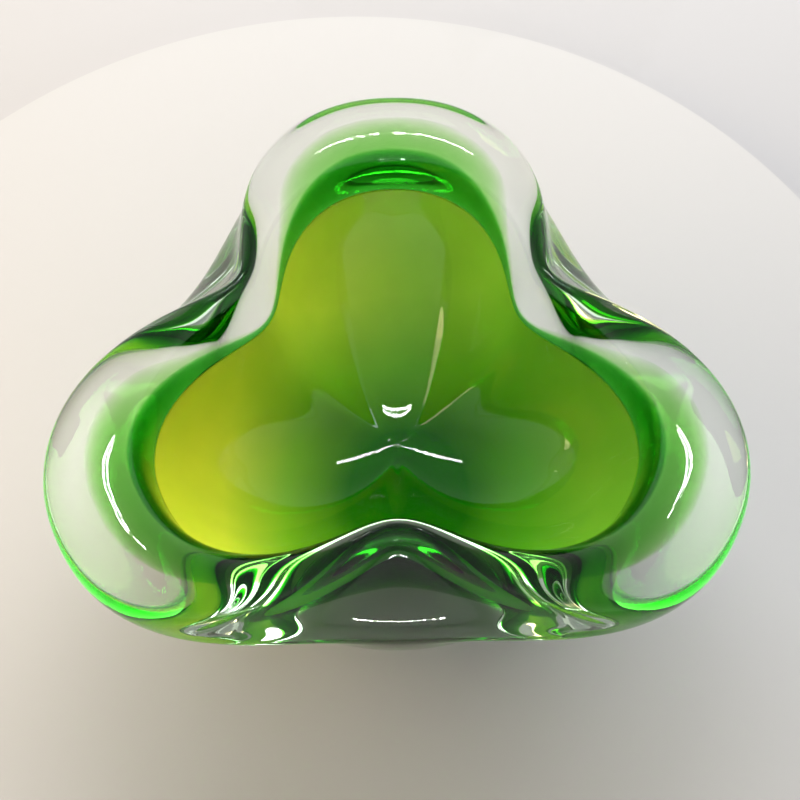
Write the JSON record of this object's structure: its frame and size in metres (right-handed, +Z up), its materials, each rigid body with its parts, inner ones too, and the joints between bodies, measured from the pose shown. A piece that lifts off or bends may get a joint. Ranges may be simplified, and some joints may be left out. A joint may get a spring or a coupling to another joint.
{
  "type": "art glass bowl",
  "caption": "Heavy trefoil glass bowl with a flat ground foot, a rim pressed in at three dents, thick rounded lobes, and lime and emerald glass cased in clear.",
  "frame": {"origin": "middle of the ground foot, on the surface the bowl stands on", "axes": "+Z up along the bowl's axis, one lobe points to +Y and one dent to -Y"},
  "size_m": [0.1818, 0.1692, 0.0788],
  "materials": {
    "clear_glass": "fire-polished",
    "emerald_glass": "fire-polished",
    "lime_glass": "fire-polished"
  },
  "bodies": {
    "root": {"clear_casing": "clear_glass", "emerald_layer": "emerald_glass", "lime_lining": "lime_glass"}
  },
  "joints": []
}
